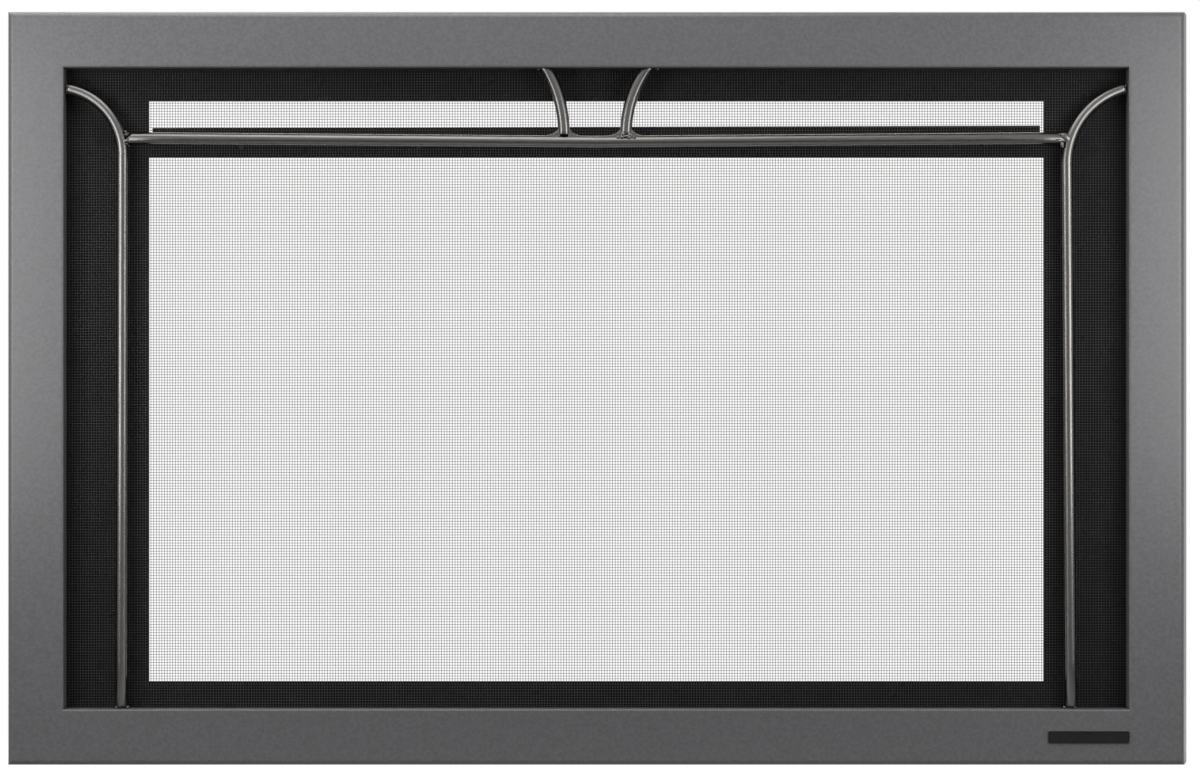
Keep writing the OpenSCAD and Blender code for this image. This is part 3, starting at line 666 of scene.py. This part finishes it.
def blind_rivet(x, h, front, rear):
    """A closed rivet along the depth, with a domed head and a dimple at the rear."""
    bpy.ops.mesh.primitive_uv_sphere_add(
        segments=24, ring_count=12, radius=RIVET_HEAD_R * MM, location=place(x, rear, h),
        rotation=(-math.pi / 2, 0, 0))
    rivet = start(bpy.context.object, "rivet")
    bpy.ops.mesh.bisect(
        plane_co=place(x, rear, h), plane_no=(0, -1, 0), use_fill=True, clear_outer=True)
    bpy.ops.mesh.select_all(action="SELECT")
    bpy.ops.transform.resize(
        value=(1, RIVET_HEAD_H / RIVET_HEAD_R, 1), center_override=place(x, rear, h))
    bpy.ops.mesh.select_mode(type="FACE")
    face_ring(rivet, rear, 0, RIVET_HEAD_R)
    bpy.ops.mesh.inset(thickness=(RIVET_HEAD_R - RIVET_R) * MM)
    bpy.ops.mesh.extrude_region_move(
        TRANSFORM_OT_translate={"value": (0, -(rear - front) * MM, 0)})
    bpy.ops.mesh.extrude_region_move(TRANSFORM_OT_translate={"value": (0, -0.05 * MM, 0)})
    bpy.ops.transform.resize(value=(1.45, 1, 1.45))
    bpy.ops.mesh.extrude_region_move(TRANSFORM_OT_translate={"value": (0, -0.75 * MM, 0)})
    bpy.ops.transform.resize(value=(0.75, 1, 0.75))
    bpy.ops.mesh.select_mode(type="VERT")
    settle(rivet)
    bpy.ops.mesh.primitive_cylinder_add(
        vertices=16, radius=0.95 * MM, depth=1.0 * MM,
        location=place(x, rear + RIVET_HEAD_H, h), rotation=(math.pi / 2, 0, 0))
    dimple = settle(start(bpy.context.object, "dimple"))
    use_modifier(rivet, "BOOLEAN", object=dimple, operation="DIFFERENCE", solver="EXACT")
    bpy.data.objects.remove(dimple)
    return settle(rivet, smooth=35)


slope = math.tan(math.radians(DEFLECTOR_TILT))
rivet_spots = [(i - 2) * DEFLECTOR_W / 5 for i in range(5)]
deflector_pins = join_all("deflector_pins", [
    blind_rivet(x, RAIL_MID + x * slope, PANEL_REAR - PANEL_T, PANEL_REAR + DEFLECTOR_T)
    for x in rivet_spots])
finish_piece(deflector_pins, black_oxide, "black_fasteners", "deflector_rivets")

# The hangers: two zinc-plated steel brackets, stepped back to the rim and punched
# with a keyhole each. Two rivets hold each one through panel, strip and lip.
zinc = coating("zinc_plate", 0.3, metallic=1.0)
bloom = grain(zinc, 11, detail=3)
tint(zinc, bloom, (0.56, 0.57, 0.58), (0.72, 0.72, 0.71))
gloss(zinc, bloom, 0.24, 0.4)
relief(zinc, grain(zinc, 0.9, detail=2, stretch=(0.15, 1, 1)), 0.012, 0.4)
coat_node("left_hanger", zinc)
coat_node("right_hanger", zinc)
LIP_T, HANGER_T, FROM_MIDDLE = 1.5, 2, 9
hanger_pins = join_all("hanger_pins", [
    blind_rivet(side * HANG_SPAN / 2 + way * FROM_MIDDLE, OPEN_TOP + CLAMP_LINE,
                FLANGE_DEPTH - LIP_T, PANEL_REAR + HANGER_T)
    for side in (-1, 1) for way in (-1, 1)])
finish_piece(hanger_pins, zinc, "zinc", "hanger_rivets")

# The magnets: nickel-plated steel pots that hold a ferrite ring, one screw each, on
# the lower corners of the panel. They keep the lower edge against the fireplace.
MAGNET_H, MAGNET_R = 62.4, 12.5
POT_WALL, POT_HOLLOW, BORE_R = 1.3, 5, 2.25
RING_R, RING_HOLE_R, RING_T, RING_SUNK = MAGNET_R - 1.6, 5, 4.6, 0.3
nickel = coating("nickel_plate", 0.22, metallic=1.0)
handled = grain(nickel, 6, detail=3)
tint(nickel, handled, (0.58, 0.55, 0.50), (0.70, 0.67, 0.62))
gloss(nickel, handled, 0.16, 0.34)
ferrite = coating("ferrite", 0.55)
tint(ferrite, grain(ferrite, 0.8, detail=3), (0.020, 0.020, 0.021), (0.042, 0.041, 0.040))
relief(ferrite, grain(ferrite, 0.5, detail=2), 0.03, 0.6)

for side, label in ((-1, "left"), (1, "right")):
    x = side * HANG_SPAN / 2
    depth = RIM_DEPTH - PANEL_REAR
    bpy.ops.mesh.primitive_cylinder_add(
        vertices=48, radius=MAGNET_R * MM, depth=depth * MM,
        location=place(x, PANEL_REAR + depth / 2, MAGNET_H), rotation=(math.pi / 2, 0, 0))
    pot = start(bpy.context.object, f"{label}_magnet_pot")
    bpy.ops.mesh.select_mode(type="FACE")
    face_ring(pot, RIM_DEPTH, 0, MAGNET_R)
    bpy.ops.mesh.inset(thickness=POT_WALL * MM)
    bpy.ops.mesh.extrude_region_move(TRANSFORM_OT_translate={"value": (0, -POT_HOLLOW * MM, 0)})
    bpy.ops.mesh.select_mode(type="EDGE")
    bpy.ops.mesh.select_all(action="DESELECT")
    bpy.ops.mesh.edges_select_sharp(sharpness=math.radians(50))
    bpy.ops.mesh.bevel(offset=0.4 * MM, segments=3, affect="EDGES")
    bpy.ops.mesh.select_mode(type="VERT")
    settle(pot, smooth=35)
    bpy.ops.mesh.primitive_cylinder_add(
        vertices=24, radius=BORE_R * MM, depth=30 * MM,
        location=place(x, RIM_DEPTH - 4, MAGNET_H), rotation=(math.pi / 2, 0, 0))
    bore = settle(start(bpy.context.object, "bore"))
    use_modifier(pot, "BOOLEAN", object=bore, operation="DIFFERENCE", solver="EXACT")
    bpy.data.objects.remove(bore)
    settle(pot, smooth=35)
    finish_piece(pot, nickel, "magnet_nickel", f"{label}_magnet")

    bpy.ops.mesh.primitive_cylinder_add(
        vertices=48, radius=RING_R * MM, depth=RING_T * MM,
        location=place(x, RIM_DEPTH - RING_SUNK - RING_T / 2, MAGNET_H),
        rotation=(math.pi / 2, 0, 0))
    ring = start(bpy.context.object, f"{label}_magnet_ring")
    bpy.ops.mesh.select_mode(type="FACE")
    for v in (RIM_DEPTH - RING_SUNK, RIM_DEPTH - RING_SUNK - RING_T):
        face_ring(ring, v, 0, MAGNET_R)
        bpy.ops.mesh.inset(thickness=(RING_R - RING_HOLE_R) * MM)
        bpy.ops.mesh.delete(type="FACE")
    bpy.ops.mesh.select_mode(type="EDGE")
    bpy.ops.mesh.select_all(action="DESELECT")
    bpy.ops.mesh.select_non_manifold()
    bpy.ops.mesh.bridge_edge_loops()
    bpy.ops.mesh.select_mode(type="VERT")
    bpy.ops.mesh.select_all(action="SELECT")
    bpy.ops.mesh.normals_make_consistent(inside=False)
    settle(ring)
    use_modifier(ring, "BEVEL", width=0.3 * MM, segments=2, limit_method="ANGLE")
    settle(ring, smooth=35)
    finish_piece(ring, ferrite, "magnet_nickel")

magnet_pins = join_all("magnet_pins", [
    pan_head_screw(side * HANG_SPAN / 2, MAGNET_H, RIM_DEPTH - 2.2, HEAD_R,
                   head_h=2.0, shank_r=2, length=7.7)
    for side in (-1, 1)])
finish_piece(magnet_pins, zinc, "zinc", "magnet_screws")
magnet_pins.data.materials.append(stove_black)
for polygon in magnet_pins.data.polygons:
    if polygon.center.y < deep(PANEL_REAR + 0.6):
        polygon.material_index = 1

# The name plate's place: a small plate of black plastic with rounded corners and a
# fine raised rim, stuck to the lower right of the face. It is left blank.
PLATE_L, PLATE_H, PLATE_T = 75.4, 11.2, 1.2
PLATE_FROM_EDGE, FILM_T = 51.5, 0.5
PLATE_X = FACE_W / 2 - PLATE_FROM_EDGE - PLATE_L / 2
plate_black = coating("satin_black_plastic", 0.35, Specular_IOR_Level=0.3)
tint(plate_black, grain(plate_black, 3, detail=3), (0.0045, 0.0045, 0.0048), (0.008, 0.008, 0.0083))
gloss(plate_black, grain(plate_black, 6, detail=2), 0.28, 0.42)
relief(plate_black, grain(plate_black, 0.35, detail=1), 0.01, 0.4)
bpy.ops.mesh.primitive_cube_add(
    size=1, location=place(PLATE_X, -FILM_T - PLATE_T / 2, BORDER / 2))
plate = start(bpy.context.object, "blank_plate")
bpy.ops.transform.resize(value=(PLATE_L * MM, PLATE_T * MM, PLATE_H * MM))
bpy.ops.mesh.select_all(action="DESELECT")
bpy.ops.mesh.select_mode(type="EDGE")
bpy.ops.object.mode_set(mode="OBJECT")
for edge in plate.data.edges:
    first, second = (plate.data.vertices[i].co for i in edge.vertices)
    edge.select = abs(first.y - second.y) > 0.5 * PLATE_T * MM
bpy.ops.object.mode_set(mode="EDIT")
bpy.ops.mesh.bevel(offset=1.4 * MM, segments=6, affect="EDGES")
bpy.ops.mesh.select_mode(type="FACE")
bpy.ops.mesh.select_all(action="DESELECT")
bpy.ops.object.mode_set(mode="OBJECT")
for polygon in plate.data.polygons:
    polygon.select = polygon.normal.y < -0.9
bpy.ops.object.mode_set(mode="EDIT")
bpy.ops.mesh.inset(thickness=0.7 * MM)
bpy.ops.mesh.inset(thickness=0.25 * MM)
bpy.ops.transform.translate(value=(0, 0.3 * MM, 0))
bpy.ops.mesh.select_mode(type="EDGE")
bpy.ops.mesh.select_all(action="DESELECT")
bpy.ops.mesh.edges_select_sharp(sharpness=math.radians(60))
bpy.ops.mesh.bevel(offset=0.18 * MM, segments=2, affect="EDGES")
bpy.ops.mesh.select_mode(type="VERT")
settle(plate, smooth=30)
finish_piece(plate, plate_black, "plate_black", "name_plate")

film = coating("adhesive_film", 0.7)
tint(film, grain(film, 2, detail=3), (0.012, 0.012, 0.012), (0.022, 0.022, 0.022))
coat_node("name_plate_adhesive", film)

# The floor that the front stands on for its picture: pale under the front, with its
# soft shadow, and plain white to the camera further out, where it meets the white
# room. In reflections the part before the front darkens with its distance.
def larger(tree, first, second):
    """The larger of two values."""
    pick = tree.nodes.new("ShaderNodeMath")
    pick.operation = "MAXIMUM"
    tree.links.new(first, pick.inputs[0])
    tree.links.new(second, pick.inputs[1])
    return pick.outputs[0]


def blend(tree, share, first, second):
    """Goes from one shader to another as a share goes from 0 to 1."""
    mix = tree.nodes.new("ShaderNodeMixShader")
    for source, socket in zip((share, first, second), mix.inputs):
        tree.links.new(source, socket)
    return mix.outputs[0]


def glow(tree, kind, strength):
    """A light of one strength, in the colour that this kind of node starts with."""
    light = tree.nodes.new(kind)
    light.inputs["Strength"].default_value = strength
    return light


bpy.ops.mesh.primitive_plane_add(size=1, location=(0, -0.35, up(0)))
floor = start(bpy.context.object, "floor")
bpy.ops.transform.resize(value=(4.4, 2.9, 1))
settle(floor)
pale = bpy.data.materials.new("pale_floor")
pale.use_nodes = True
tree = pale.node_tree
tree.nodes.clear()
bounce = tree.nodes.new("ShaderNodeBsdfDiffuse")
bounce.inputs["Color"].default_value = (0.10, 0.10, 0.10, 1)
shaded = tree.nodes.new("ShaderNodeBsdfDiffuse")
shaded.inputs["Color"].default_value = (0.42, 0.42, 0.42, 1)
lift = glow(tree, "ShaderNodeEmission", 0.82)
plain_white = glow(tree, "ShaderNodeEmission", 1.0)
seen = tree.nodes.new("ShaderNodeLightPath")
where = tree.nodes.new("ShaderNodeTexCoord")
away = tree.nodes.new("ShaderNodeVectorMath")
away.operation = "DISTANCE"
away.inputs[1].default_value = (0, 0, up(0))
tree.links.new(where.outputs["Object"], away.inputs[0])
fade = level_between(tree, away.outputs["Value"], (0.45, 1.0), smooth=True)
near = tree.nodes.new("ShaderNodeAddShader")
tree.links.new(shaded.outputs[0], near.inputs[0])
tree.links.new(lift.outputs[0], near.inputs[1])
pool = blend(tree, fade.outputs["Result"], near.outputs[0], plain_white.outputs[0])
apart = tree.nodes.new("ShaderNodeSeparateXYZ")
tree.links.new(where.outputs["Object"], apart.inputs[0])
behind = level_between(tree, apart.outputs["Y"], (-0.1, 0.1))
dusk = tree.nodes.new("ShaderNodeEmission")
darker = level_between(tree, away.outputs["Value"], (0.2, 1.0), (0.8, 0.15))
tree.links.new(darker.outputs["Result"], dusk.inputs["Strength"])
mirrored = blend(tree, behind.outputs["Result"], dusk.outputs[0], pool)
glossy = larger(tree, seen.outputs["Is Glossy Ray"], seen.outputs["Is Transmission Ray"])
unseen = blend(tree, glossy, bounce.outputs[0], mirrored)
out = tree.nodes.new("ShaderNodeOutputMaterial")
tree.links.new(
    blend(tree, seen.outputs["Is Camera Ray"], unseen, pool), out.inputs["Surface"])
floor.data.materials.append(pale)

# The room: plain white to the camera. In reflections it is pale behind the front and
# overhead, and greyer before it, most of all below the horizon. As light on the front
# it is weak.
world = bpy.data.worlds.new("studio")
bpy.context.scene.world = world
world.use_nodes = True
tree = world.node_tree
tree.nodes.clear()
seen = tree.nodes.new("ShaderNodeLightPath")
where = tree.nodes.new("ShaderNodeTexCoord")
apart = tree.nodes.new("ShaderNodeSeparateXYZ")
tree.links.new(where.outputs["Generated"], apart.inputs[0])
behind = level_between(tree, apart.outputs["Y"], (0.25, 0.75), smooth=True)
before = level_between(tree, apart.outputs["Z"], (-0.07, 0.07), (0.6, 0.95))
tree.links.new(before.outputs["Result"], behind.inputs["To Min"])
overhead = level_between(tree, apart.outputs["Z"], (0.2, 0.6), smooth=True)
room = tree.nodes.new("ShaderNodeBackground")
tree.links.new(
    larger(tree, behind.outputs["Result"], overhead.outputs["Result"]), room.inputs["Strength"])
white = glow(tree, "ShaderNodeBackground", 1.0)
white.inputs["Color"].default_value = (1, 1, 1, 1)
dim = glow(tree, "ShaderNodeBackground", 0.03)
glossy = larger(tree, seen.outputs["Is Glossy Ray"], seen.outputs["Is Transmission Ray"])
mirrored = blend(tree, glossy, dim.outputs[0], room.outputs[0])
out = tree.nodes.new("ShaderNodeOutputWorld")
tree.links.new(
    blend(tree, seen.outputs["Is Camera Ray"], mirrored, white.outputs[0]), out.inputs["Surface"])

# The lamps: on each side a soft box close by and a slim one further off, which draws
# the long lights on the bars, a broad one above and before the front, and one high
# behind it.
AIM = Vector((0, 0, up(FACE_H / 2)))


def soft_box(name, at, size, power, aim=AIM):
    bpy.ops.object.light_add(type="AREA", location=at)
    lamp = bpy.context.object
    lamp.name = name
    lamp.data.shape = "RECTANGLE"
    lamp.data.size, lamp.data.size_y = size
    lamp.data.energy = power
    lamp.rotation_euler = (Vector(at) - Vector(aim)).to_track_quat("Z", "Y").to_euler()


soft_box("left_box", (-0.7, -0.5, -0.19), (0.25, 0.5), 1.55, (-0.4, 0, -0.23))
soft_box("right_box", (0.7, -0.5, -0.19), (0.25, 0.5), 1.6, (0.4, 0, -0.23))
soft_box("left_strip", (-2.2, -2.05, 0.1), (0.3, 1.2), 8.5)
soft_box("right_strip", (2.2, -2.05, 0.1), (0.3, 1.2), 8.5)
soft_box("top_box", (-0.25, -0.28, 0.5), (1.1, 0.6), 4.7, (0, 0, -0.15))
soft_box("rear_box", (0, 0.9, 1.2), (2.4, 0.6), 14)

# The camera: 4.5 m in front of the face, level with its middle and looking straight
# at it, with a long lens that lets the face fill the picture.
bpy.ops.object.camera_add(
    location=(3.5 * MM, deep(0) - 4.5, up(350.3)), rotation=(math.pi / 2, 0, 0))
camera = bpy.context.object
camera.data.sensor_width = 36
camera.data.lens = 145.12
camera.data.clip_end = 50
bpy.context.scene.camera = camera
bpy.context.scene.view_settings.view_transform = "Standard"
